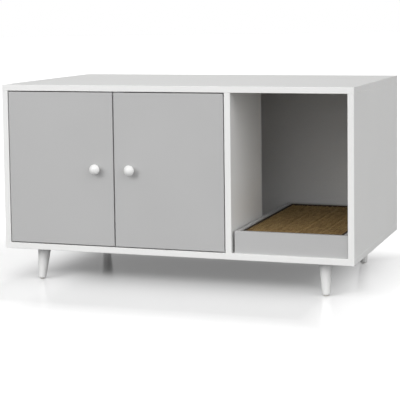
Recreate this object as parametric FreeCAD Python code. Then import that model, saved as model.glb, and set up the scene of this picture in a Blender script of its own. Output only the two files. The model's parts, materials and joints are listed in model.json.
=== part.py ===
import FreeCAD, Part
import math
import os
from FreeCAD import Vector

# Cat litter box cabinet on four splayed tapered legs. A pair of inset doors closes the bay for
# the litter box. The open bay beside it holds a tray with a scratching pad. The divider between
# the bays is short, and the gap behind it is the cat's way through.
#
# Millimetres. X runs to the right seen from the front, Y towards the back, Z up. The origin is on
# the floor, under the middle of the whole object, knobs included.

# ---- carcass ----
cabinet_width = 890.0
cabinet_depth = 520.0
box_height = 410.0
board = 15.0                 # thickness of every carcass board
leg_height = 83.0            # floor to the underside of the box
open_bay_width = 280.0
divider_depth = 255.0
back_thickness = 4.0
rebate_width = 7.0           # how far the back panel laps over each board's rear edge
edge_round = 0.8             # softened long edges of the boards

# ---- shared by many pieces ----
screw_head_ratio = 2.0       # head radius over shank radius
pan_top_ratio = 1.4          # top of a raised head over shank radius
cutter_excess = 1.0          # how far a cutter runs past the surface it opens

# ---- board joints ----
cam_radius = 7.5
cam_depth = 12.0
cam_setback = 24.0           # cam centre to the board's end
cam_bolt_radius = 3.0
cam_bolt_bite = 11.0         # bolt length inside the top or bottom panel
cam_end_distance = 50.0
cam_bolt_short = 2.0         # bolt end to the cam's centre
cam_slot_length = 9.0
cam_slot_width = 1.4
cam_slot_depth = 2.0
dowel_radius = 4.0
dowel_length = 28.0
dowel_bite = 10.0            # dowel length inside the top or bottom panel
dowel_spacing = 170.0        # about this far between dowels along a board's end
back_screw_radius = 1.5
back_screw_length = 14.0
back_screw_pitch = 150.0

# ---- doors ----
door_thickness = 15.0
door_side_gap = 2.5
door_middle_gap = 3.0
door_end_gap = 2.5
door_round = 1.0
knob_length = 23.0
knob_head_radius = 13.0
knob_waist_radius = 5.5
knob_foot_radius = 7.0
knob_foot_length = 2.0
knob_dome_radius = 15.0
knob_rim_radius = 2.0
knob_edge_distance = 43.5    # knob centre to the door's free edge
knob_height = 206.0          # knob centre above the underside of the box
knob_screw_radius = 2.0
knob_screw_bite = 12.0
knob_screw_play = 0.3

# ---- concealed hinges, seen from the board that carries them ----
hinge_end_distance = 70.0    # hinge centre to the top or bottom panel
pivot_from_edge = 9.5        # pivot to the door's hinged edge
pivot_depth = 7.2            # pivot behind the door's front face
pivot_radius = 1.2
pivot_play = 0.05
eye_radius = 2.4
cup_radius = 17.5
cup_depth = 11.3
cup_wall = 1.5
cup_floor = 0.8
cup_rim = 4.0                # wood left between the cup and the door's edge
flange_radius = 19.0
flange_thickness = 1.2
flange_width = 13.0
flange_offset = 6.0          # screw line beyond the cup's centre
cup_screw_spacing = 48.0
neck_inner_radius = 13.0     # the curved neck clears the door's corner as it swings
neck_thickness = 3.5
neck_width = 10.0
spoke_thickness = 4.0
arm_width = 12.0
arm_wall = 1.5
arm_round = 1.2
arm_end = 64.0               # rear end of the arm behind the front plane
arm_clearance = 2.5          # open edge of the arm to the mounting plate
plate_thickness = 2.5
rail_height = 10.0
plate_screw_line = 37.0      # plate screws behind the front plane
plate_screw_spacing = 32.0
plate_wing_length = 48.0
plate_wing_width = 14.0
plate_wing_corner = 3.0
plate_body_width = 13.0
plate_front = 28.0
hinge_screw_radius = 1.75
hinge_screw_length = 12.0
arm_screw_lines = (33.0, 55.0)
arm_screw_length = 6.0

# ---- magnetic catch ----
catch_width = 46.0
catch_height = 13.0
catch_length = 16.0
catch_round = 1.5
catch_gap = 0.3              # magnet face to strike plate with the doors shut
catch_ear_thickness = 2.0
catch_ear_length = 8.0
magnet_width = 14.0
magnet_height = 6.0
magnet_depth = 9.6
magnet_stand_out = 0.6
strike_width = 18.0
strike_height = 10.0
strike_thickness = 1.2
strike_corner = 2.0
small_screw_radius = 1.4
small_screw_length = 10.0

# ---- legs ----
leg_side_inset = 77.0        # foot centre to the cabinet's side
leg_front_inset = 44.5       # foot centre to the front plane
leg_back_inset = 60.0        # the same, to the back
leg_side_splay = 4.5         # how far the foot stands outside the leg's top, sideways
leg_front_splay = 10.0       # the same, towards the front or back
leg_top_radius = 16.0
leg_foot_radius = 9.7
leg_foot_round = 3.0
leg_plate_side = 58.0
leg_plate_thickness = 2.0
leg_plate_corner = 8.0
leg_plate_hole_spacing = 42.0
leg_boss_radius = 17.0
leg_boss_length = 8.0        # along the leg, below the middle of the plate
leg_bolt_radius = 4.0
leg_bolt_bite = 24.0
leg_bolt_short = 2.0         # bolt end to the middle of the plate's top face
leg_screw_radius = 2.0
leg_screw_length = 13.0
glide_radius = 6.5
glide_dome_radius = 18.0
glide_top = 2.5              # along the leg, from the floor
glide_flat = 0.3             # worn flat at the floor

# ---- scratching tray ----
tray_left_gap = 6.5          # the tray stands a little right of the middle of its bay
tray_right_gap = 1.5
tray_setback = 5.0
tray_back_gap = 36.0         # tray to the back panel
tray_height = 53.0
tray_board = 12.0
tray_round = 0.6
tray_base_thickness = 3.0
tray_base_height = 4.0
tray_groove_depth = 5.0
tray_dowel_radius = 3.0
tray_dowel_length = 24.0
tray_dowel_inset = 11.0      # dowel centre to the base or to the tray's rim
pad_recess = 5.0             # pad top below the tray's rim
pad_gap = 2.5
pad_round = 2.0

# ---- places worked out from the sizes ----
front = -(cabinet_depth - knob_length) / 2
back = front + cabinet_depth
left = -cabinet_width / 2
right = cabinet_width / 2
inner_left = left + board
inner_right = right - board
divider_right = inner_right - open_bay_width
divider_left = divider_right - board
box_bottom = leg_height
box_top = box_bottom + box_height
inner_bottom = box_bottom + board
inner_top = box_top - board
divider_back = front + divider_depth
door_bay_width = divider_left - inner_left
door_width = (door_bay_width - 2 * door_side_gap - door_middle_gap) / 2
door_bottom = inner_bottom + door_end_gap
door_top = inner_top - door_end_gap
door_back = front + door_thickness
hinge_heights = (inner_bottom + hinge_end_distance, inner_top - hinge_end_distance)
pivot_from_board = door_side_gap + pivot_from_edge
cup_from_board = door_side_gap + cup_rim + cup_radius
arm_bottom = plate_thickness + arm_clearance
doors_middle = inner_left + door_bay_width / 2
tray_left = divider_right + tray_left_gap
tray_right = inner_right - tray_right_gap
tray_front = front + tray_setback
tray_back = back - back_thickness - tray_back_gap
tray_bottom = inner_bottom
tray_top = tray_bottom + tray_height
tray_base_top = tray_bottom + tray_base_height + tray_base_thickness

UP = Vector(0, 0, 1)
BACKWARD = Vector(0, 1, 0)
RIGHTWARD = Vector(1, 0, 0)


def block(x0, y0, z0, x1, y1, z1):
    return Part.makeBox(x1 - x0, y1 - y0, z1 - z0, Vector(x0, y0, z0))


def rod(start, direction, radius, length):
    return Part.makeCylinder(radius, length, start, direction)


def fused(shapes):
    whole = shapes[0]
    for piece in shapes[1:]:
        whole = whole.fuse(piece)
    return whole.removeSplitter()


def cut_all(shape, tools):
    for tool in tools:
        shape = shape.cut(tool)
    return shape


def round_edges(shape, radius, wanted):
    """Round the straight edges whose middle point the test picks."""
    picked = []
    for edge in shape.Edges:
        if isinstance(edge.Curve, Part.Line) and wanted(edge.CenterOfMass):
            picked.append(edge)
    return shape.makeFillet(radius, picked)


def near(a, b):
    return abs(a - b) < 0.01


def mirrored(shape):
    return shape.mirror(Vector(0, 0, 0), RIGHTWARD)


def moved(shape, x, y, z):
    copy = shape.copy()
    copy.translate(Vector(x, y, z))
    return copy


def save(node, solids):
    shape = solids[0] if len(solids) == 1 else Part.makeCompound(solids)
    shape.exportStep("parts/" + node + ".step")


def countersunk_screw(start, direction, radius, length):
    """A screw whose flat head lies flush at start and whose shank runs along direction."""
    head = Part.makeCone(screw_head_ratio * radius, radius, radius, start, direction)
    return fused([head, rod(start, direction, radius, length)])


def pan_screw(start, direction, radius, length):
    """A screw whose low tapered head stands on the surface at start."""
    head = Part.makeCone(screw_head_ratio * radius, pan_top_ratio * radius, radius, start,
                         -direction)
    return fused([head, rod(start, direction, radius, length)])


# ---- carcass joints ----

def upright_boards():
    """Each upright board's x range, the side its cams open to and its depth."""
    return (
        (left, inner_left, 1, cabinet_depth),
        (divider_left, divider_right, -1, divider_depth),
        (inner_right, right, -1, cabinet_depth),
    )


def joint_ends():
    """The two ends of an upright board: the height of its end and the way into the board."""
    return ((inner_bottom, 1), (inner_top, -1))


def cam_places():
    """Every cam fastener: x of the board's middle, y, board end z, way in, and its open face."""
    places = []
    for x0, x1, side, depth in upright_boards():
        face = x1 if side > 0 else x0
        for distance in (cam_end_distance, depth - cam_end_distance):
            for end, way in joint_ends():
                places.append(((x0 + x1) / 2, front + distance, end, way, face, side))
    return places


def dowel_places():
    """Every dowel: its middle line, the board's end and the way into the board."""
    places = []
    for x0, x1, side, depth in upright_boards():
        spaces = max(2, round(depth / dowel_spacing))
        for i in range(1, spaces):
            for end, way in joint_ends():
                places.append(((x0 + x1) / 2, front + depth * i / spaces, end, way))
    return places


def cam_lock_blank(x, y, end, way, face, side):
    centre = Vector(face, y, end + way * cam_setback)
    return rod(centre, Vector(-side, 0, 0), cam_radius, cam_depth)


def cam_bolt(x, y, end, way, face, side):
    start = Vector(x, y, end - way * cam_bolt_bite)
    return rod(start, Vector(0, 0, way), cam_bolt_radius,
               cam_bolt_bite + cam_setback - cam_bolt_short)


def cam_lock(x, y, end, way, face, side):
    """The cam with its bolt hole and a cross slot in its open face."""
    lock = cam_lock_blank(x, y, end, way, face, side).cut(cam_bolt(x, y, end, way, face, side))
    middle = end + way * cam_setback
    low, high = sorted((face, face - side * cam_slot_depth))
    long, short = cam_slot_length / 2, cam_slot_width / 2
    for half_y, half_z in ((long, short), (short, long)):
        slot = block(low, y - half_y, middle - half_z, high, y + half_y, middle + half_z)
        lock = lock.cut(slot)
    return lock


def dowel(x, y, end, way):
    start = Vector(x, y, end - way * dowel_bite)
    return rod(start, Vector(0, 0, way), dowel_radius, dowel_length)


def joint_holes():
    holes = [cam_lock_blank(*place) for place in cam_places()]
    holes += [cam_bolt(*place) for place in cam_places()]
    holes += [dowel(*place) for place in dowel_places()]
    return holes


def drilled(shape, holes):
    """Cut only the holes that reach into this board."""
    reach = shape.BoundBox
    return cut_all(shape, [hole for hole in holes if reach.intersect(hole.BoundBox)])


# ---- carcass boards ----

def back_rebate():
    """The space of the back panel, let into the rear edges of the boards."""
    return block(inner_left - rebate_width, back - back_thickness, inner_bottom - rebate_width,
                 inner_right + rebate_width, back, inner_top + rebate_width)


def lying_board(z0, z1, outer):
    shape = block(left, front, z0, right, back, z1)
    shape = round_edges(shape, edge_round,
                        lambda p: near(p.y, front) or near(p.z, outer) or near(abs(p.x), right))
    return shape.cut(back_rebate())


def upright_board(x0, x1, y1):
    shape = block(x0, front, inner_bottom, x1, y1, inner_top)
    middle = (inner_bottom + inner_top) / 2
    shape = round_edges(shape, edge_round,
                        lambda p: near(p.y, front) and near(p.z, middle)
                        or near(abs(p.x), right) and not near(p.z, middle))
    return shape.cut(back_rebate())


def back_screw_places():
    """Places along the rebate, evenly spread at no more than the pitch."""
    edge = rebate_width / 2
    x0, x1 = inner_left - edge, inner_right + edge
    z0, z1 = inner_bottom - edge, inner_top + edge
    across = math.ceil((x1 - x0) / back_screw_pitch)
    upward = math.ceil((z1 - z0) / back_screw_pitch)
    places = []
    for i in range(across + 1):
        x = x0 + (x1 - x0) * i / across
        places += [(x, z0), (x, z1)]
    for i in range(1, upward):
        z = z0 + (z1 - z0) * i / upward
        places += [(x0, z), (x1, z)]
    return places


def back_screws():
    screws = []
    for x, z in back_screw_places():
        screws.append(countersunk_screw(Vector(x, back, z), -BACKWARD, back_screw_radius,
                                        back_screw_length))
    return screws


# ---- hinges: x from the carrying board's face, y from the front plane, z from the hinge ----

def hinge_cup():
    """Cup pressed from sheet with a screw flange. It stays in the door."""
    floor_y = door_thickness - cup_depth
    centre = Vector(cup_from_board, floor_y, 0)
    body = rod(centre, BACKWARD, cup_radius, cup_depth)
    face = Vector(cup_from_board, door_thickness, 0)
    disc = rod(face, BACKWARD, flange_radius, flange_thickness)
    wing_x = cup_from_board + flange_offset
    half = cup_screw_spacing / 2
    bar = block(wing_x - flange_width / 2, door_thickness, -half,
                wing_x + flange_width / 2, door_thickness + flange_thickness, half)
    ends = [rod(Vector(wing_x, door_thickness, z), BACKWARD, flange_width / 2, flange_thickness)
            for z in (-half, half)]
    inside = rod(centre + BACKWARD * cup_floor, BACKWARD, cup_radius - cup_wall,
                 cup_depth + flange_thickness)
    shape = fused([body, disc, bar] + ends).cut(inside)
    return cut_all(shape, [hinge_pin()] + cup_screws())


def hinge_pin():
    """The pin is pressed into the cup's wall and ends flush with the outside of it."""
    far_side = cup_from_board - pivot_from_board + pivot_radius
    half = math.sqrt(cup_radius ** 2 - far_side ** 2)
    return rod(Vector(pivot_from_board, pivot_depth, -half), UP, pivot_radius, 2 * half)


def cup_screws():
    screws = []
    for z in (-cup_screw_spacing / 2, cup_screw_spacing / 2):
        start = Vector(cup_from_board + flange_offset, door_thickness + flange_thickness, z)
        screws.append(countersunk_screw(start, -BACKWARD, hinge_screw_radius, hinge_screw_length))
    return screws


def cup_hole():
    centre = Vector(cup_from_board, door_thickness - cup_depth, 0)
    return rod(centre, BACKWARD, cup_radius, cup_depth)


def hinge_neck():
    """Eye, spoke and quarter-ring neck, all concentric with the pivot or radial to it."""
    centre = Vector(pivot_from_board, pivot_depth, -neck_width / 2)
    outer = neck_inner_radius + neck_thickness
    eye = rod(centre, UP, eye_radius, neck_width)
    spoke = block(pivot_from_board, pivot_depth - spoke_thickness / 2, -neck_width / 2,
                  pivot_from_board + outer, pivot_depth + spoke_thickness / 2, neck_width / 2)
    ring = Part.makeCylinder(outer, neck_width, centre, UP, 90)
    ring = ring.cut(rod(centre, UP, neck_inner_radius, neck_width))
    root = block(arm_bottom, pivot_depth + neck_inner_radius, -neck_width / 2,
                 pivot_from_board, pivot_depth + outer, neck_width / 2)
    return [eye, spoke, ring, root]


def hinge_arm():
    """Channel arm that clips over the mounting plate's rail and carries the neck."""
    start = pivot_depth + neck_inner_radius
    top = rail_height + arm_wall
    channel = block(arm_bottom, start, -arm_width / 2, top, arm_end, arm_width / 2)
    channel = round_edges(channel, arm_round, lambda p: near(p.x, top) and not near(p.y, arm_end))
    shape = fused(hinge_neck() + [channel])
    hollow = block(0, plate_front, -arm_width / 2 + arm_wall, rail_height,
                   arm_end + cutter_excess, arm_width / 2 - arm_wall)
    bore = rod(Vector(pivot_from_board, pivot_depth, -neck_width), UP,
               pivot_radius + pivot_play, 2 * neck_width)
    return cut_all(shape, [hollow, bore] + arm_screws())


def arm_screws():
    top = rail_height + arm_wall
    screws = []
    for y in arm_screw_lines:
        screws.append(pan_screw(Vector(top, y, 0), -RIGHTWARD, hinge_screw_radius,
                                arm_screw_length))
    return screws


def hinge_plate():
    """Cross-shaped mounting plate with a rail for the arm."""
    wing = block(0, plate_screw_line - plate_wing_width / 2, -plate_wing_length / 2,
                 plate_thickness, plate_screw_line + plate_wing_width / 2, plate_wing_length / 2)
    wing = round_edges(wing, plate_wing_corner, lambda p: near(p.x, plate_thickness / 2))
    body = block(0, plate_front, -plate_body_width / 2, plate_thickness, arm_end,
                 plate_body_width / 2)
    rail = block(0, plate_front, -arm_width / 2 + arm_wall, rail_height, arm_end,
                 arm_width / 2 - arm_wall)
    shape = fused([wing, body, rail])
    return cut_all(shape, plate_screws() + arm_screws())


def plate_screws():
    screws = []
    for z in (-plate_screw_spacing / 2, plate_screw_spacing / 2):
        start = Vector(plate_thickness, plate_screw_line, z)
        screws.append(countersunk_screw(start, -RIGHTWARD, hinge_screw_radius,
                                        hinge_screw_length))
    return screws


def at_hinges(shape, hand):
    """Copies of a hinge piece at both hinges of the left (1) or right (-1) door."""
    face = inner_left if hand > 0 else divider_left
    piece = shape if hand > 0 else mirrored(shape)
    return [moved(piece, face, front, z) for z in hinge_heights]


# ---- doors ----

def door_free_edge(hand):
    return doors_middle - hand * door_middle_gap / 2


def knob_centre(hand):
    return Vector(door_free_edge(hand) - hand * knob_edge_distance, front, box_bottom + knob_height)


def strike_centre(hand):
    x = doors_middle - hand * catch_width / 4
    return Vector(x, door_back, inner_top - catch_height / 2)


def knob_screw(hand):
    start = knob_centre(hand) + BACKWARD * door_thickness
    return pan_screw(start, -BACKWARD, knob_screw_radius, door_thickness + knob_screw_bite)


def strike_screw(hand):
    start = strike_centre(hand) + BACKWARD * strike_thickness
    return countersunk_screw(start, -BACKWARD, small_screw_radius, small_screw_length)


def strike_plate(hand):
    c = strike_centre(hand)
    plate = block(c.x - strike_width / 2, c.y, c.z - strike_height / 2,
                  c.x + strike_width / 2, c.y + strike_thickness, c.z + strike_height / 2)
    middle = c.y + strike_thickness / 2
    plate = round_edges(plate, strike_corner, lambda p: near(p.y, middle))
    return plate.cut(strike_screw(hand))


def door_panel(hand):
    hinged_edge = door_free_edge(hand) - hand * door_width
    x0, x1 = sorted((hinged_edge, door_free_edge(hand)))
    panel = block(x0, front, door_bottom, x1, door_back, door_top)
    panel = round_edges(panel, door_round,
                        lambda p: near(p.y, front) or near(p.y, door_back)
                        or near(p.y, (front + door_back) / 2))
    holes = at_hinges(cup_hole(), hand)
    for screw in cup_screws():
        holes += at_hinges(screw, hand)
    holes.append(rod(knob_centre(hand), BACKWARD, knob_screw_radius + knob_screw_play,
                     door_thickness))
    holes.append(strike_screw(hand))
    return cut_all(panel, holes)


def knob_profile():
    """Half section of the turned knob, with its foot on the door at y = 0: foot, waist, quarter
    round flare, rim bead and dome. The dome and the bead touch without a corner."""
    bead_x = knob_head_radius - knob_rim_radius
    dome_y = knob_dome_radius - knob_length
    bead_y = dome_y - math.sqrt((knob_dome_radius - knob_rim_radius) ** 2 - bead_x ** 2)
    lean = math.asin(bead_x / (knob_dome_radius - knob_rim_radius))
    flare = bead_x - knob_waist_radius
    flare_y = bead_y + knob_rim_radius
    waist_end = Vector(knob_waist_radius, flare_y + flare, 0)
    bead_start = Vector(bead_x, flare_y, 0)
    flare_middle = Vector(bead_x - flare * math.sqrt(0.5), waist_end.y - flare * math.sqrt(0.5), 0)
    bead_end = Vector(knob_dome_radius * math.sin(lean),
                      dome_y - knob_dome_radius * math.cos(lean), 0)
    dome_middle = Vector(knob_dome_radius * math.sin(lean / 2),
                         dome_y - knob_dome_radius * math.cos(lean / 2), 0)
    tip = Vector(0, -knob_length, 0)
    foot = [
        Vector(0, 0, 0),
        Vector(knob_foot_radius, 0, 0),
        Vector(knob_foot_radius, -knob_foot_length, 0),
        Vector(knob_waist_radius, -2 * knob_foot_length, 0),
        waist_end,
    ]
    edges = [Part.LineSegment(a, b) for a, b in zip(foot, foot[1:])]
    edges.append(Part.Arc(waist_end, flare_middle, bead_start))
    edges.append(Part.Arc(bead_start, Vector(knob_head_radius, bead_y, 0), bead_end))
    edges.append(Part.Arc(bead_end, dome_middle, tip))
    edges.append(Part.LineSegment(tip, foot[0]))
    return Part.Face(Part.Wire([edge.toShape() for edge in edges]))


def knob(hand):
    turned = knob_profile().revolve(Vector(0, 0, 0), BACKWARD, 360)
    c = knob_centre(hand)
    return moved(turned, c.x, c.y, c.z).cut(knob_screw(hand))


# ---- magnetic catch ----

def catch_face():
    """The plane of the magnets' faces."""
    return door_back + strike_thickness + catch_gap


def catch_screws():
    screws = []
    for side in (-1, 1):
        x = doors_middle + side * (catch_width / 2 - catch_ear_length / 2)
        y = catch_face() + magnet_stand_out + catch_length - catch_ear_length / 2
        start = Vector(x, y, inner_top - catch_ear_thickness)
        screws.append(pan_screw(start, UP, small_screw_radius, small_screw_length))
    return screws


def catch_magnets():
    magnets = []
    for hand in (1, -1):
        c = strike_centre(hand)
        magnets.append(block(c.x - magnet_width / 2, catch_face(), c.z - magnet_height / 2,
                             c.x + magnet_width / 2, catch_face() + magnet_depth,
                             c.z + magnet_height / 2))
    return magnets


def catch_case():
    """Moulded case under the top panel, with two screw ears at its rear corners."""
    y0 = catch_face() + magnet_stand_out
    y1 = y0 + catch_length
    z0 = inner_top - catch_height
    body = block(doors_middle - catch_width / 2, y0, z0, doors_middle + catch_width / 2, y1,
                 inner_top)
    body = round_edges(body, catch_round, lambda p: near(p.z, z0))
    for side in (-1, 1):
        x0, x1 = sorted((doors_middle + side * (catch_width / 2 - catch_ear_length),
                         doors_middle + side * catch_width))
        corner = block(x0, y1 - catch_ear_length, z0 - cutter_excess, x1, y1 + cutter_excess,
                       inner_top - catch_ear_thickness)
        body = body.cut(corner)
    return cut_all(body, catch_magnets() + catch_screws())


# ---- legs ----

class Leg:
    """One splayed leg: where its line meets the floor, and the direction up along it."""

    def __init__(self, side, end):
        foot_x = side * (right - leg_side_inset)
        foot_y = front + leg_front_inset if end < 0 else back - leg_back_inset
        self.foot = Vector(foot_x, foot_y, 0)
        self.top = Vector(foot_x - side * leg_side_splay, foot_y - end * leg_front_splay,
                          leg_height)
        self.line = self.top - self.foot
        self.length = self.line.Length
        self.line.normalize()

    def along(self, distance):
        return self.foot + self.line * distance

    def placed(self, shape):
        """Stand a shape that was made along Z from the origin on the leg's line."""
        turned = shape.copy()
        turned.Placement = FreeCAD.Placement(self.foot, FreeCAD.Rotation(UP, self.line))
        return turned

    def seat(self):
        """Distance along the line to the boss's face, where the leg's top butts."""
        return self.length - leg_boss_length


def leg_bolt(leg):
    start = leg.seat() - leg_bolt_bite
    length = leg_bolt_bite + leg_boss_length - leg_bolt_short
    return rod(leg.along(start), leg.line, leg_bolt_radius, length)


def tapered_leg(leg):
    seat = leg.seat()
    narrow = leg_foot_radius - leg_foot_round
    middle = Vector(leg_foot_radius - leg_foot_round * (1 - math.sqrt(0.5)), 0,
                    glide_top + leg_foot_round * (1 - math.sqrt(0.5)))
    edges = [
        Part.LineSegment(Vector(0, 0, glide_top), Vector(narrow, 0, glide_top)),
        Part.Arc(Vector(narrow, 0, glide_top), middle,
                 Vector(leg_foot_radius, 0, glide_top + leg_foot_round)),
        Part.LineSegment(Vector(leg_foot_radius, 0, glide_top + leg_foot_round),
                         Vector(leg_top_radius, 0, seat)),
        Part.LineSegment(Vector(leg_top_radius, 0, seat), Vector(0, 0, seat)),
        Part.LineSegment(Vector(0, 0, seat), Vector(0, 0, glide_top)),
    ]
    face = Part.Face(Part.Wire([edge.toShape() for edge in edges]))
    turned = face.revolve(Vector(0, 0, 0), UP, 360)
    return leg.placed(turned).cut(leg_bolt(leg))


def leg_glide(leg):
    """Domed nylon glide under the leg, worn flat where it meets the floor."""
    lean = leg.line.z
    dome_centre = (glide_dome_radius - glide_flat) / lean
    disc = rod(Vector(0, 0, -glide_radius), UP, glide_radius, glide_radius + glide_top)
    dome = Part.makeSphere(glide_dome_radius, Vector(0, 0, dome_centre))
    shape = leg.placed(disc.common(dome))
    x, y, reach = leg.foot.x, leg.foot.y, 2 * glide_radius
    return shape.cut(block(x - reach, y - reach, -reach, x + reach, y + reach, 0))


def leg_screws(leg):
    screws = []
    half = leg_plate_hole_spacing / 2
    for dx in (-half, half):
        for dy in (-half, half):
            start = Vector(leg.top.x + dx, leg.top.y + dy, box_bottom - leg_plate_thickness)
            screws.append(countersunk_screw(start, UP, leg_screw_radius, leg_screw_length))
    return screws


def leg_plate(leg):
    """Steel plate with a boss that leans with the leg and takes its bolt."""
    half = leg_plate_side / 2
    x, y = leg.top.x, leg.top.y
    plate = block(x - half, y - half, box_bottom - leg_plate_thickness, x + half, y + half,
                  box_bottom)
    middle = box_bottom - leg_plate_thickness / 2
    plate = round_edges(plate, leg_plate_corner, lambda p: near(p.z, middle))
    boss = rod(leg.along(leg.seat()), leg.line, leg_boss_radius, 2 * leg_boss_length)
    above = block(x - half, y - half, box_bottom, x + half, y + half,
                  box_bottom + 2 * leg_boss_length)
    shape = fused([plate, boss.cut(above)])
    return cut_all(shape, leg_screws(leg) + [leg_bolt(leg)])


# ---- tray and pad ----

def tray_base():
    return block(tray_left + tray_board - tray_groove_depth,
                 tray_front + tray_board - tray_groove_depth, tray_bottom + tray_base_height,
                 tray_right - tray_board + tray_groove_depth,
                 tray_back - tray_board + tray_groove_depth, tray_base_top)


def tray_dowels():
    """Two dowels at each corner, out of a side board's end into the front or back board."""
    half = tray_board / 2
    dowels = []
    for x in (tray_left + half, tray_right - half):
        for z in (tray_base_top + tray_dowel_inset, tray_top - tray_dowel_inset):
            for y in (tray_front + half, tray_back - half - tray_dowel_length):
                dowels.append(rod(Vector(x, y, z), BACKWARD, tray_dowel_radius,
                                  tray_dowel_length))
    return dowels


def tray_wall(x0, y0, x1, y1):
    wall = block(x0, y0, tray_bottom, x1, y1, tray_top)
    wall = round_edges(wall, tray_round, lambda p: near(p.z, tray_top))
    return drilled(wall.cut(tray_base()), tray_dowels())


def scratching_pad():
    gap = tray_board + pad_gap
    pad = block(tray_left + gap, tray_front + gap, tray_base_top,
                tray_right - gap, tray_back - gap, tray_top - pad_recess)
    return round_edges(pad, pad_round, lambda p: not near(p.z, tray_base_top))


# ---- write one file for each node ----

def carcass():
    holes = joint_holes() + back_screws()
    hinge_holes = []
    for hand in (1, -1):
        for screw in plate_screws():
            hinge_holes += at_hinges(screw, hand)
    legs = four_legs()
    leg_holes = []
    for leg in legs.values():
        leg_holes += leg_screws(leg)
    top = lying_board(inner_top, box_top, box_top)
    bottom = lying_board(box_bottom, inner_bottom, box_bottom)
    save("top_panel", [drilled(top, holes + catch_screws())])
    save("bottom_panel", [drilled(bottom, holes + leg_holes)])
    save("left_side_panel", [drilled(upright_board(left, inner_left, back), holes + hinge_holes)])
    save("right_side_panel", [drilled(upright_board(inner_right, right, back), holes)])
    save("divider_panel", [drilled(upright_board(divider_left, divider_right, divider_back),
                                   holes + hinge_holes)])
    save("back_panel", [cut_all(back_rebate(), back_screws())])
    save("back_panel_screws", back_screws())
    save("cam_locks", [cam_lock(*place) for place in cam_places()])
    save("cam_bolts", [cam_bolt(*place) for place in cam_places()])
    save("panel_dowels", [dowel(*place) for place in dowel_places()])


def four_legs():
    return {
        "front_left_leg": Leg(-1, -1),
        "front_right_leg": Leg(1, -1),
        "back_left_leg": Leg(-1, 1),
        "back_right_leg": Leg(1, 1),
    }


def undercarriage():
    legs = four_legs()
    for node, leg in legs.items():
        save(node, [tapered_leg(leg)])
    save("leg_plates", [leg_plate(leg) for leg in legs.values()])
    save("leg_bolts", [leg_bolt(leg) for leg in legs.values()])
    save("leg_glides", [leg_glide(leg) for leg in legs.values()])
    screws = []
    for leg in legs.values():
        screws += leg_screws(leg)
    save("leg_plate_screws", screws)


def door(name, hand):
    save(name + "_door_panel", [door_panel(hand)])
    save(name + "_hinge_cups", at_hinges(hinge_cup(), hand))
    save(name + "_hinge_pins", at_hinges(hinge_pin(), hand))
    screws = []
    for screw in cup_screws():
        screws += at_hinges(screw, hand)
    save(name + "_cup_screws", screws)
    save(name + "_knob", [knob(hand)])
    save(name + "_knob_screw", [knob_screw(hand)])
    save(name + "_strike_plate", [strike_plate(hand)])
    save(name + "_strike_screw", [strike_screw(hand)])
    save(name + "_hinge_arms", at_hinges(hinge_arm(), hand))
    save(name + "_hinge_plates", at_hinges(hinge_plate(), hand))
    fixings = []
    for screw in plate_screws() + arm_screws():
        fixings += at_hinges(screw, hand)
    save(name + "_hinge_fixing_screws", fixings)


def catch():
    save("catch_case", [catch_case()])
    save("catch_magnets", catch_magnets())
    save("catch_screws", catch_screws())


def tray():
    save("tray_front_board", [tray_wall(tray_left, tray_front, tray_right,
                                        tray_front + tray_board)])
    save("tray_back_board", [tray_wall(tray_left, tray_back - tray_board, tray_right, tray_back)])
    side_front = tray_front + tray_board
    side_back = tray_back - tray_board
    save("tray_left_board", [tray_wall(tray_left, side_front, tray_left + tray_board, side_back)])
    save("tray_right_board", [tray_wall(tray_right - tray_board, side_front, tray_right,
                                        side_back)])
    save("tray_base", [tray_base()])
    save("tray_dowels", tray_dowels())
    save("scratching_pad", [scratching_pad()])


os.makedirs("parts", exist_ok=True)
carcass()
undercarriage()
door("left", 1)
door("right", -1)
catch()
tray()
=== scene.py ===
import json
import math

import bmesh
import bpy
from mathutils import Matrix, Vector


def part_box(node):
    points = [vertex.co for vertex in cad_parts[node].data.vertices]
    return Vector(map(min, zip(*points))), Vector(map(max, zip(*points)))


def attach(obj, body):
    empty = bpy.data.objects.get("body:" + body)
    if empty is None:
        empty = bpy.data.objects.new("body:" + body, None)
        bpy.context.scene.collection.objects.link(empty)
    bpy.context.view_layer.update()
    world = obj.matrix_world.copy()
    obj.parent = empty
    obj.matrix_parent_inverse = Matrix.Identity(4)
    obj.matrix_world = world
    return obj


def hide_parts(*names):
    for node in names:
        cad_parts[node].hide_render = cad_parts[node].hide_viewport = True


# Cat litter box cabinet: lacquered boards, turned legs, concealed hinges and a tray with a
# scratching pad of corrugated card. Everything is in metres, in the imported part's frame.

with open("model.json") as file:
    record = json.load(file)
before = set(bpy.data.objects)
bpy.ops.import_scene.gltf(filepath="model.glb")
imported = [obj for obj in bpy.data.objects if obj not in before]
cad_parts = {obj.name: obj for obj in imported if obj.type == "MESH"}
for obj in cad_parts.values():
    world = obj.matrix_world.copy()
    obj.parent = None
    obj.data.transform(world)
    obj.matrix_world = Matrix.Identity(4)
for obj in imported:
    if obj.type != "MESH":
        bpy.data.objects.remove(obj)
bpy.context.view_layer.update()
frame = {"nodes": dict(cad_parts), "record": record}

MM = 0.001

# the photograph's viewpoint, to the right of the cabinet and a little above it: angles in
# degrees, lens and sensor in millimetres
CAMERA_PLACE = (1.0959, -3.159, 0.6735)
CAMERA_TURN_LEFT = 19.321
CAMERA_TILT_DOWN = 4.827
CAMERA_ROLL = -0.723
CAMERA_LENS = 118.11
CAMERA_SENSOR = 36.0
CAMERA_SHIFT = -0.2

# the lamp that gives the knobs their shadows, aimed at about the middle of the cabinet;
# angles here and below are in degrees, to the right of the front and above the floor
KEY_AZIMUTH, KEY_ELEVATION = -26, 24
KEY_DISTANCE = 5.0
KEY_SIZE = 1.8
KEY_POWER = 30
KEY_AIM = (0, 0, 0.28)
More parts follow.
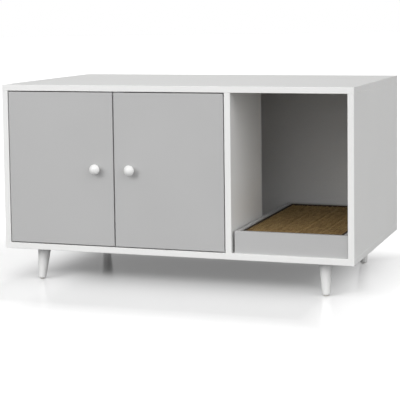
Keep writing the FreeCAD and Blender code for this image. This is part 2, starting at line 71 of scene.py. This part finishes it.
# each large soft source: azimuth, elevation, narrowing, strength
SOFT_SOURCES = (
    (0, 18, 14.0, 0.69),
    (-24, 30, 14.0, 2.6),
    (-50, 25, 5.0, 0.75),
    (52, 28, 5.0, 1.5),
    (180, 45, 5.0, 0.42),
    (90, 20, 3.0, 0.95),
    (-158, 9, 24.0, 0.68),
)

FLOOR_RADIUS = 30
FLOOR_SEGMENTS = 96
BOUNCE_DROP = 1 * MM
BOUNCE_COLOUR = "#8A8A8A"
# the floor's own light, a painted glow that leaves a painted shadow round the cabinet: to each
# side of a middle, near the front, further out at the front and behind: where it starts, where
# it is full, and its full strength
GLOW_MIDDLE = -0.034
GLOW_SIDE = (0.294, 0.498, 0.35)
GLOW_FRONT = (0.049, 0.169, 0.17)
GLOW_RIM = (0.3, 0.62, 0.42)
GLOW_BEHIND = (0.1, 0.5, 0.6)

# the pad's material slots; its liners keep a new face's slot, which is 0
FLUTE, CORE = 1, 2


# ---- colours and nodes ----

def linear(hex_colour):
    """sRGB hex to the linear colour that a shader takes."""
    channels = []
    for start in (1, 3, 5):
        value = int(hex_colour[start:start + 2], 16) / 255
        channels.append(value / 12.92 if value <= 0.04045 else ((value + 0.055) / 1.055) ** 2.4)
    return (*channels, 1.0)


def add(tree, kind, settings=None, links=None):
    """Add a node, set its fields and sockets, and link sockets of earlier nodes into it."""
    made = tree.nodes.new(kind)
    for name, value in (settings or {}).items():
        if isinstance(name, str) and hasattr(made, name):
            setattr(made, name, value)
        else:
            made.inputs[name].default_value = value
    for name, source in (links or {}).items():
        tree.links.new(source, made.inputs[name])
    return made


def start_material(name):
    material = bpy.data.materials.new(name)
    material.use_nodes = True
    tree = material.node_tree
    tree.nodes.clear()
    place = add(tree, "ShaderNodeTexCoord").outputs["Object"]
    return material, tree, place


def finish_material(tree, shader):
    add(tree, "ShaderNodeOutputMaterial", links={"Surface": shader.outputs[0]})


def shade_between(tree, factor, low, high):
    """A colour ramp from one hex colour to another."""
    ramp = add(tree, "ShaderNodeValToRGB", links={"Fac": factor})
    ramp.color_ramp.elements[0].color = linear(low)
    ramp.color_ramp.elements[1].color = linear(high)
    return ramp.outputs["Color"]


# ---- finishes ----

def sprayed_lacquer(name, dark, light, roughness):
    """Satin lacquer sprayed on fibreboard: even colour, a very faint orange peel about 3 mm
    wide, and a sheen that wavers over about 180 mm, where the coat is thicker."""
    waver = 0.05
    material, tree, place = start_material(name)
    drift = add(tree, "ShaderNodeTexNoise", {"Scale": 1 / (180 * MM), "Detail": 2.0},
                {"Vector": place})
    peel = add(tree, "ShaderNodeTexNoise", {"Scale": 1 / (3 * MM), "Detail": 1.0},
               {"Vector": place})
    sheen = add(tree, "ShaderNodeMapRange",
                {"To Min": roughness - waver, "To Max": roughness + waver},
                {"Value": drift.outputs["Fac"]})
    bump = add(tree, "ShaderNodeBump", {"Strength": 0.06, "Distance": 0.05 * MM},
               {"Height": peel.outputs["Fac"]})
    colour = shade_between(tree, drift.outputs["Fac"], dark, light)
    shader = add(tree, "ShaderNodeBsdfPrincipled", {"IOR": 1.5},
                 {"Base Color": colour, "Roughness": sheen.outputs["Result"],
                  "Normal": bump.outputs["Normal"]})
    finish_material(tree, shader)
    return material


def painted_beech():
    """Satin paint over turned beech: the grain telegraphs through as faint long streaks."""
    material, tree, place = start_material("satin_painted_beech")
    stretched = add(tree, "ShaderNodeMapping", {"Scale": (1.0, 1.0, 0.06)}, {"Vector": place})
    grain = add(tree, "ShaderNodeTexNoise", {"Scale": 1 / (1.2 * MM), "Detail": 3.0},
                {"Vector": stretched.outputs["Vector"]})
    bump = add(tree, "ShaderNodeBump", {"Strength": 0.08, "Distance": 0.05 * MM},
               {"Height": grain.outputs["Fac"]})
    colour = shade_between(tree, grain.outputs["Fac"], "#F0F0EF", "#F7F7F6")
    shader = add(tree, "ShaderNodeBsdfPrincipled", {"IOR": 1.5, "Roughness": 0.32},
                 {"Base Color": colour, "Normal": bump.outputs["Normal"]})
    finish_material(tree, shader)
    return material


def faced_hardboard():
    """Thin hardboard with a white melamine face: flatter and a touch duller than the lacquer."""
    material, tree, place = start_material("white_faced_hardboard")
    fibre = add(tree, "ShaderNodeTexNoise", {"Scale": 1 / (2.2 * MM), "Detail": 4.0},
                {"Vector": place})
    bump = add(tree, "ShaderNodeBump", {"Strength": 0.1, "Distance": 0.04 * MM},
               {"Height": fibre.outputs["Fac"]})
    colour = shade_between(tree, fibre.outputs["Fac"], "#E0E0E0", "#E9E9E8")
    shader = add(tree, "ShaderNodeBsdfPrincipled", {"IOR": 1.5, "Roughness": 0.55},
                 {"Base Color": colour, "Normal": bump.outputs["Normal"]})
    finish_material(tree, shader)
    return material


def bare_beech():
    """Plain beech dowel: pale pink-brown with short dark flecks along the rod."""
    material, tree, place = start_material("plain_beech")
    stretched = add(tree, "ShaderNodeMapping", {"Scale": (1.0, 1.0, 0.15)}, {"Vector": place})
    fleck = add(tree, "ShaderNodeTexNoise", {"Scale": 1 / (0.8 * MM), "Detail": 4.0},
                {"Vector": stretched.outputs["Vector"]})
    colour = shade_between(tree, fleck.outputs["Fac"], "#B98F63", "#D9B98E")
    shader = add(tree, "ShaderNodeBsdfPrincipled", {"IOR": 1.5, "Roughness": 0.6},
                 {"Base Color": colour})
    finish_material(tree, shader)
    return material


def plated_metal(name, dark, light, low_gloss, high_gloss, patch):
    """Plated or cast metal, or dark ferrite: the colour and the gloss shift in patches, whose
    size is given in millimetres."""
    material, tree, place = start_material(name)
    cloud = add(tree, "ShaderNodeTexNoise", {"Scale": 1 / (patch * MM), "Detail": 5.0},
                {"Vector": place})
    gloss = add(tree, "ShaderNodeMapRange", {"To Min": low_gloss, "To Max": high_gloss},
                {"Value": cloud.outputs["Fac"]})
    bump = add(tree, "ShaderNodeBump", {"Strength": 0.12, "Distance": 0.03 * MM},
               {"Height": cloud.outputs["Fac"]})
    colour = shade_between(tree, cloud.outputs["Fac"], dark, light)
    shader = add(tree, "ShaderNodeBsdfPrincipled", {"Metallic": 1.0},
                 {"Base Color": colour, "Roughness": gloss.outputs["Result"],
                  "Normal": bump.outputs["Normal"]})
    finish_material(tree, shader)
    return material


def moulded_plastic(name, dark, light, roughness, grit):
    """Injection-moulded plastic with a fine spark-eroded grain, given in millimetres."""
    material, tree, place = start_material(name)
    grain = add(tree, "ShaderNodeTexNoise", {"Scale": 1 / (grit * MM), "Detail": 2.0},
                {"Vector": place})
    bump = add(tree, "ShaderNodeBump", {"Strength": 0.25, "Distance": 0.03 * MM},
               {"Height": grain.outputs["Fac"]})
    colour = shade_between(tree, grain.outputs["Fac"], dark, light)
    shader = add(tree, "ShaderNodeBsdfPrincipled", {"IOR": 1.49, "Roughness": roughness},
                 {"Base Color": colour, "Normal": bump.outputs["Normal"]})
    finish_material(tree, shader)
    return material


def kraft_card(name, dark, light):
    """Unbleached card, brown and matt. Its shade shifts in bands about a strip wide along the
    pad and in blotches, as where claws have fluffed it. Fibres are drawn coarse enough to show."""
    material, tree, place = start_material(name)
    along = add(tree, "ShaderNodeMapping", {"Scale": (1.0, 0.1, 0.3)}, {"Vector": place})
    strips = add(tree, "ShaderNodeTexNoise", {"Scale": 1 / (5 * MM), "Detail": 2.0},
                 {"Vector": along.outputs["Vector"]})
    blotch = add(tree, "ShaderNodeTexNoise", {"Scale": 1 / (12 * MM), "Detail": 6.0},
                 {"Vector": place})
    fibre = add(tree, "ShaderNodeTexNoise", {"Scale": 1 / (2 * MM), "Detail": 4.0},
                {"Vector": place})
    mixed = add(tree, "ShaderNodeMath", {"operation": "MULTIPLY_ADD", 1: 2.0},
                {0: blotch.outputs["Fac"], 2: strips.outputs["Fac"]})
    spread = add(tree, "ShaderNodeMapRange", {"From Min": 0.9, "From Max": 2.1},
                 {"Value": mixed.outputs["Value"]})
    bump = add(tree, "ShaderNodeBump", {"Strength": 0.4, "Distance": 0.3 * MM},
               {"Height": fibre.outputs["Fac"]})
    colour = shade_between(tree, spread.outputs["Result"], dark, light)
    shader = add(tree, "ShaderNodeBsdfPrincipled", {"IOR": 1.45, "Roughness": 0.9},
                 {"Base Color": colour, "Normal": bump.outputs["Normal"]})
    finish_material(tree, shader)
    return material


# ---- floors ----

def fade(tree, value, start, end, full):
    """0 up to start, full from end on, eased between them."""
    return add(tree, "ShaderNodeMapRange",
               {"interpolation_type": "SMOOTHSTEP", "From Min": start, "From Max": end,
                "To Max": full},
               {"Value": value}).outputs["Result"]


def larger(tree, one, other):
    return add(tree, "ShaderNodeMath", {"operation": "MAXIMUM"},
               {0: one, 1: other}).outputs["Value"]


def studio_floor():
    """Polished white acrylic. It mirrors the legs faintly, and its own light, a painted glow,
    leaves out the place under the cabinet, so that a soft painted shadow stays there."""
    material, tree, place = start_material("polished_white_acrylic_floor")
    cloud = add(tree, "ShaderNodeTexNoise", {"Scale": 1 / (500 * MM), "Detail": 2.0},
                {"Vector": place})
    colour = shade_between(tree, cloud.outputs["Fac"], "#F6F6F6", "#FCFCFC")
    parts = add(tree, "ShaderNodeSeparateXYZ", links={"Vector": place}).outputs
    aside = add(tree, "ShaderNodeMath", {"operation": "SUBTRACT", 1: GLOW_MIDDLE},
                {0: parts["X"]})
    outward = add(tree, "ShaderNodeMath", {"operation": "ABSOLUTE"},
                  {0: aside.outputs["Value"]}).outputs["Value"]
    forward = add(tree, "ShaderNodeMath", {"operation": "MULTIPLY", 1: -1.0},
                  {0: parts["Y"]}).outputs["Value"]
    # painted glow, which fades out towards the cabinet and so leaves a painted shadow round it
    glow = larger(tree, fade(tree, outward, *GLOW_SIDE), fade(tree, forward, *GLOW_FRONT))
    glow = larger(tree, glow, fade(tree, forward, *GLOW_RIM))
    glow = larger(tree, glow, fade(tree, parts["Y"], *GLOW_BEHIND))
    shader = add(tree, "ShaderNodeBsdfPrincipled",
                 {"IOR": 1.16, "Roughness": 0.14, "Emission Color": linear("#FFFFFF")},
                 {"Base Color": colour, "Emission Strength": glow})
    finish_material(tree, shader)
    return material


def bounce_floor():
    """Matt grey paper, one even grey. It is hidden from the camera."""
    material, tree, _ = start_material("matt_grey_paper_floor")
    shader = add(tree, "ShaderNodeBsdfPrincipled",
                 {"Base Color": linear(BOUNCE_COLOUR), "Roughness": 0.9})
    finish_material(tree, shader)
    return material


# ---- this cabinet's finishes ----

white_lacquer = sprayed_lacquer("white_sprayed_lacquer", "#F0F0EF", "#F5F5F4", 0.4)
grey_lacquer = sprayed_lacquer("light_grey_sprayed_lacquer", "#BABABA", "#C0C0C0", 0.42)
hardboard = faced_hardboard()
beech_paint = painted_beech()
beech = bare_beech()
zinc_plate = plated_metal("bright_zinc_plate", "#A9ADB3", "#D5D8DC", 0.22, 0.4, 6)
nickel_plate = plated_metal("satin_nickel_plate", "#B9B6AF", "#DAD8D2", 0.16, 0.3, 9)
cast_zinc = plated_metal("tumbled_cast_zinc", "#8C8E92", "#B4B6BA", 0.4, 0.6, 2)
nylon = moulded_plastic("natural_nylon", "#DEDCD2", "#E8E6DD", 0.45, 0.5)
white_plastic = moulded_plastic("white_moulded_plastic", "#E9E9E6", "#F1F1EF", 0.5, 0.4)
ferrite = plated_metal("sintered_ferrite", "#2A2A2C", "#3D3D40", 0.5, 0.7, 0.6)
card_liner = kraft_card("kraft_card_liner", "#8E7144", "#CDB17E")
card_flute = kraft_card("kraft_card_flute", "#7A5F38", "#B89A66")
# painted shade: dark card for the band round the pad, standing in for the shade in the gap beside
# it
painted_gap_shade_card = kraft_card("dark_card_as_painted_gap_shade", "#33281B", "#4A3B28")
# painted shade: the core's card is a darker brown for the shade it lies in
core_card_painted_shade = kraft_card("kraft_card_in_shadow", "#3A2C18", "#5A4528")

FINISHES = {
    "white_lacquered_board": white_lacquer,
    "grey_lacquered_board": grey_lacquer,
    "white_hardboard": hardboard,
    "white_painted_beech": beech_paint,
    "beech_dowel": beech,
    "corrugated_pad": card_liner,
    "zinc_plated_steel": zinc_plate,
    "nickel_plated_steel": nickel_plate,
    "die_cast_zinc": cast_zinc,
    "nylon_glide": nylon,
    "white_moulded_plastic": white_plastic,
    "ferrite_magnet": ferrite,
}


def paint_the_parts():
    """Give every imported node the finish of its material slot."""
    for part in frame["record"]["subparts"]:
        mesh = frame["nodes"][part["node"]].data
        mesh.materials.clear()
        mesh.materials.append(FINISHES[part["material_slot"]])


# ---- pieces ----

def new_piece(name, shape, *materials):
    mesh = bpy.data.meshes.new(name)
    shape.to_mesh(mesh)
    shape.free()
    for material in materials:
        mesh.materials.append(material)
    piece = bpy.data.objects.new(name, mesh)
    bpy.context.collection.objects.link(piece)
    return piece


def vertices_in(made):
    """The vertices among what an operator made."""
    return [item for item in made if isinstance(item, bmesh.types.BMVert)]


def slab(shape, low, high):
    """Add a box from its lowest to its highest corner."""
    place = Matrix.Translation((low + high) / 2) @ Matrix.Diagonal((*(high - low), 1))
    return bmesh.ops.create_cube(shape, size=1, matrix=place)["verts"]


def paint_faces_at(vertices, slot):
    """Give every face that has one of the vertices a material slot."""
    for vertex in vertices:
        for face in vertex.link_faces:
            face.material_index = slot


def fluted_sheet(shape, start, length, waves, phase, swing, rise, thickness):
    """Add a sheet on edge that runs along Y in waves, from its start up by its rise."""
    steps_per_flute = 6
    steps = waves * steps_per_flute
    line = []
    for step in range(steps + 1):
        turn = 2 * math.pi * waves * step / steps + phase
        line.append(shape.verts.new((start.x + swing * math.sin(turn) - thickness / 2,
                                     start.y + length * step / steps, start.z)))
    edges = [shape.edges.new(pair) for pair in zip(line, line[1:])]
    wall = bmesh.ops.extrude_edge_only(shape, edges=edges)["geom"]
    top = vertices_in(wall)
    bmesh.ops.translate(shape, verts=top, vec=(0, 0, rise))
    faces = [item for item in wall if isinstance(item, bmesh.types.BMFace)]
    far = vertices_in(bmesh.ops.extrude_face_region(shape, geom=faces)["geom"])
    bmesh.ops.translate(shape, verts=far, vec=(thickness, 0, 0))
    paint_faces_at(line + top + far, FLUTE)


def card_pad():
    """The pad as it is made: strips of corrugated card on edge, liners with a fluted sheet
    between each two, over a core that stays in shadow, its card painted a darker brown as
    painted shade. Strips and flutes are coarser than real ones, so that they show."""
    strip = 4.5 * MM
    liner = 0.7 * MM
    flute_sheet = 0.7 * MM
    flute_pitch = 9 * MM
    flute_reach = 0.96        # share of the way to the liners
    flute_shift = 2.4         # radians from one sheet's waves to the next one's
    open_depth = 5 * MM
    rough_top = 1.2 * MM
    edge_gap = 5 * MM
    card_rise = 2 * MM
    low, high = (Vector(corner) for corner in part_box("scratching_pad"))
    low += Vector((edge_gap, edge_gap, 0))
    high += Vector((-edge_gap, -edge_gap, card_rise))
    strips = round((high.x - low.x - liner) / strip)
    strip = (high.x - low.x - liner) / strips
    length = high.y - low.y

    shape = bmesh.new()
    sunk = Vector((liner / 2, liner / 2, 0))
    core = slab(shape, low + sunk, high - sunk - Vector((0, 0, open_depth)))
    paint_faces_at(core, CORE)

    # liners and flutes end at uneven heights, as worn card does
    for i in range(strips + 1):
        side = low.x + i * strip
        height = high.z - (i % 3) * rough_top / 2
        slab(shape, Vector((side, low.y, low.z)), Vector((side + liner, high.y, height)))

    waves = round(length / flute_pitch)
    swing = (strip - liner - flute_sheet) / 2 * flute_reach
    for i in range(strips):
        start = Vector((low.x + liner / 2 + (i + 0.5) * strip, low.y, high.z - open_depth))
        rise = open_depth - rough_top * (1 + (i % 4) / 4)
        fluted_sheet(shape, start, length, waves, i * flute_shift, swing, rise, flute_sheet)
    bmesh.ops.recalc_face_normals(shape, faces=shape.faces)
    pad = new_piece("corrugated_card_pad", shape, card_liner, card_flute, core_card_painted_shade)
    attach(pad, "pad")
    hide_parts("scratching_pad")


def pad_edge_painted_shade():
    """The dark band round the pad's four sides, standing a little above its top: painted shade,
    put where the gap between the pad and the tray's walls lies in shade.
    """
    thickness = 5 * MM
    rise = 4.2 * MM
    rounding = 1 * MM
    low, high = (Vector(corner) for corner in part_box("scratching_pad"))
    shape = bmesh.new()
    place = Matrix.Translation(((low.x + high.x) / 2, (low.y + high.y) / 2, low.z))
    place @= Matrix.Diagonal((high.x - low.x, high.y - low.y, 1, 1))
    bmesh.ops.create_grid(shape, x_segments=1, y_segments=1, size=0.5, matrix=place)
    middle = shape.faces[:]
    bmesh.ops.inset_individual(shape, faces=middle, thickness=thickness,
                               use_even_offset=True)
    bmesh.ops.delete(shape, geom=middle, context="FACES")
    top = vertices_in(bmesh.ops.extrude_face_region(shape, geom=shape.faces[:])["geom"])
    bmesh.ops.translate(shape, verts=top, vec=(0, 0, high.z + rise - low.z))
    rim = [edge for edge in shape.edges if all(vertex in top for vertex in edge.verts)
           and len({round(face.normal.z) for face in edge.link_faces}) > 1]
    bmesh.ops.recalc_face_normals(shape, faces=shape.faces)
    bmesh.ops.bevel(shape, geom=rim, offset=rounding, offset_type="OFFSET", affect="EDGES",
                    segments=2, profile=0.5, material=-1)
    shade_piece = new_piece("pad_edge_painted_shade", shape, painted_gap_shade_card)
    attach(shade_piece, "pad")


# ---- stage ----

def floor_disc(name, height, material):
    shape = bmesh.new()
    place = Matrix.Translation((0, 0, height))
    bmesh.ops.create_circle(shape, cap_ends=True, radius=FLOOR_RADIUS,
                            segments=FLOOR_SEGMENTS, matrix=place)
    floor = new_piece(name, shape, material)
    return floor


def lay_floor():
    """A white floor for the camera, over a greyer one that gives the bounce light and is
    mirrored in the gloss."""
    shown = floor_disc("studio_floor", 0, studio_floor())
    shown.visible_diffuse = False
    shown.visible_glossy = False
    shown.visible_shadow = False
    bounce = floor_disc("bounce_floor", -BOUNCE_DROP, bounce_floor())
    bounce.visible_camera = False


def way(azimuth, elevation):
    """The direction at an angle to the right of the front and above the floor, in degrees."""
    turn, rise = math.radians(azimuth), math.radians(elevation)
    return Vector((math.sin(turn) * math.cos(rise), -math.cos(turn) * math.cos(rise),
                   math.sin(rise)))


def area_light(name, place, target, size, power):
    light = bpy.data.lights.new(name, "AREA")
    light.shape = "DISK"
    light.size = size
    light.energy = power
    lamp = bpy.data.objects.new(name, light)
    lamp.location = place
    aim = Vector(target) - Vector(place)
    lamp.rotation_euler = aim.to_track_quat("-Z", "Y").to_euler()
    bpy.context.collection.objects.link(lamp)


def sky_share(tree, direction, towards, narrowing, strength):
    """Light that fades from a direction in the room: its cosine to a power."""
    aim = add(tree, "ShaderNodeVectorMath", {"operation": "DOT_PRODUCT", 1: towards},
              {0: direction})
    facing = add(tree, "ShaderNodeMath", {"operation": "MAXIMUM", 1: 0.0},
                 {0: aim.outputs["Value"]})
    lobe = add(tree, "ShaderNodeMath", {"operation": "POWER", 1: narrowing},
               {0: facing.outputs["Value"]})
    return add(tree, "ShaderNodeMath", {"operation": "MULTIPLY", 1: strength},
               {0: lobe.outputs["Value"]}).outputs["Value"]


def light_the_room():
    """A room that the camera sees as white, lit by a few large soft sources, and one lamp that
    gives the knobs their shadows."""
    world = bpy.data.worlds.new("white_room")
    bpy.context.scene.world = world
    world.use_nodes = True
    tree = world.node_tree
    tree.nodes.clear()
    direction = add(tree, "ShaderNodeTexCoord").outputs["Generated"]
    shares = [sky_share(tree, direction, way(azimuth, elevation), narrowing, strength)
              for azimuth, elevation, narrowing, strength in SOFT_SOURCES]
    total = shares[0]
    for share in shares[1:]:
        total = add(tree, "ShaderNodeMath", {"operation": "ADD"},
                    {0: total, 1: share}).outputs["Value"]
    seen = add(tree, "ShaderNodeLightPath").outputs["Is Camera Ray"]
    strength = add(tree, "ShaderNodeMapRange", {"To Max": 1.0}, {"Value": seen, "To Min": total})
    sky = add(tree, "ShaderNodeBackground", {"Color": linear("#FFFFFF")},
              {"Strength": strength.outputs["Result"]})
    add(tree, "ShaderNodeOutputWorld", links={"Surface": sky.outputs["Background"]})
    aim = Vector(KEY_AIM)
    place = aim + way(KEY_AZIMUTH, KEY_ELEVATION) * KEY_DISTANCE
    area_light("key_light", place, aim, KEY_SIZE, KEY_POWER)
    bpy.context.scene.view_settings.view_transform = "Standard"


def set_camera():
    """Set the camera up: turned left from +Y, tilted down, then rolled."""
    turn, tilt = math.radians(CAMERA_TURN_LEFT), math.radians(CAMERA_TILT_DOWN)
    roll = math.radians(CAMERA_ROLL)
    forward = Vector((-math.sin(turn) * math.cos(tilt), math.cos(turn) * math.cos(tilt),
                      -math.sin(tilt)))
    level = forward.cross(Vector((0, 0, 1))).normalized()
    upright = level.cross(forward)
    across = level * math.cos(roll) + upright * math.sin(roll)
    upward = upright * math.cos(roll) - level * math.sin(roll)
    camera = bpy.data.cameras.new("camera")
    camera.sensor_width = CAMERA_SENSOR
    camera.lens = CAMERA_LENS
    camera.shift_y = CAMERA_SHIFT
    camera.clip_end = 100.0
    eye = bpy.data.objects.new("camera", camera)
    turned = Matrix((across, upward, -forward)).transposed().to_4x4()
    eye.matrix_world = Matrix.Translation(CAMERA_PLACE) @ turned
    bpy.context.collection.objects.link(eye)
    bpy.context.scene.camera = eye


set_camera()
light_the_room()
lay_floor()
paint_the_parts()
card_pad()
pad_edge_painted_shade()
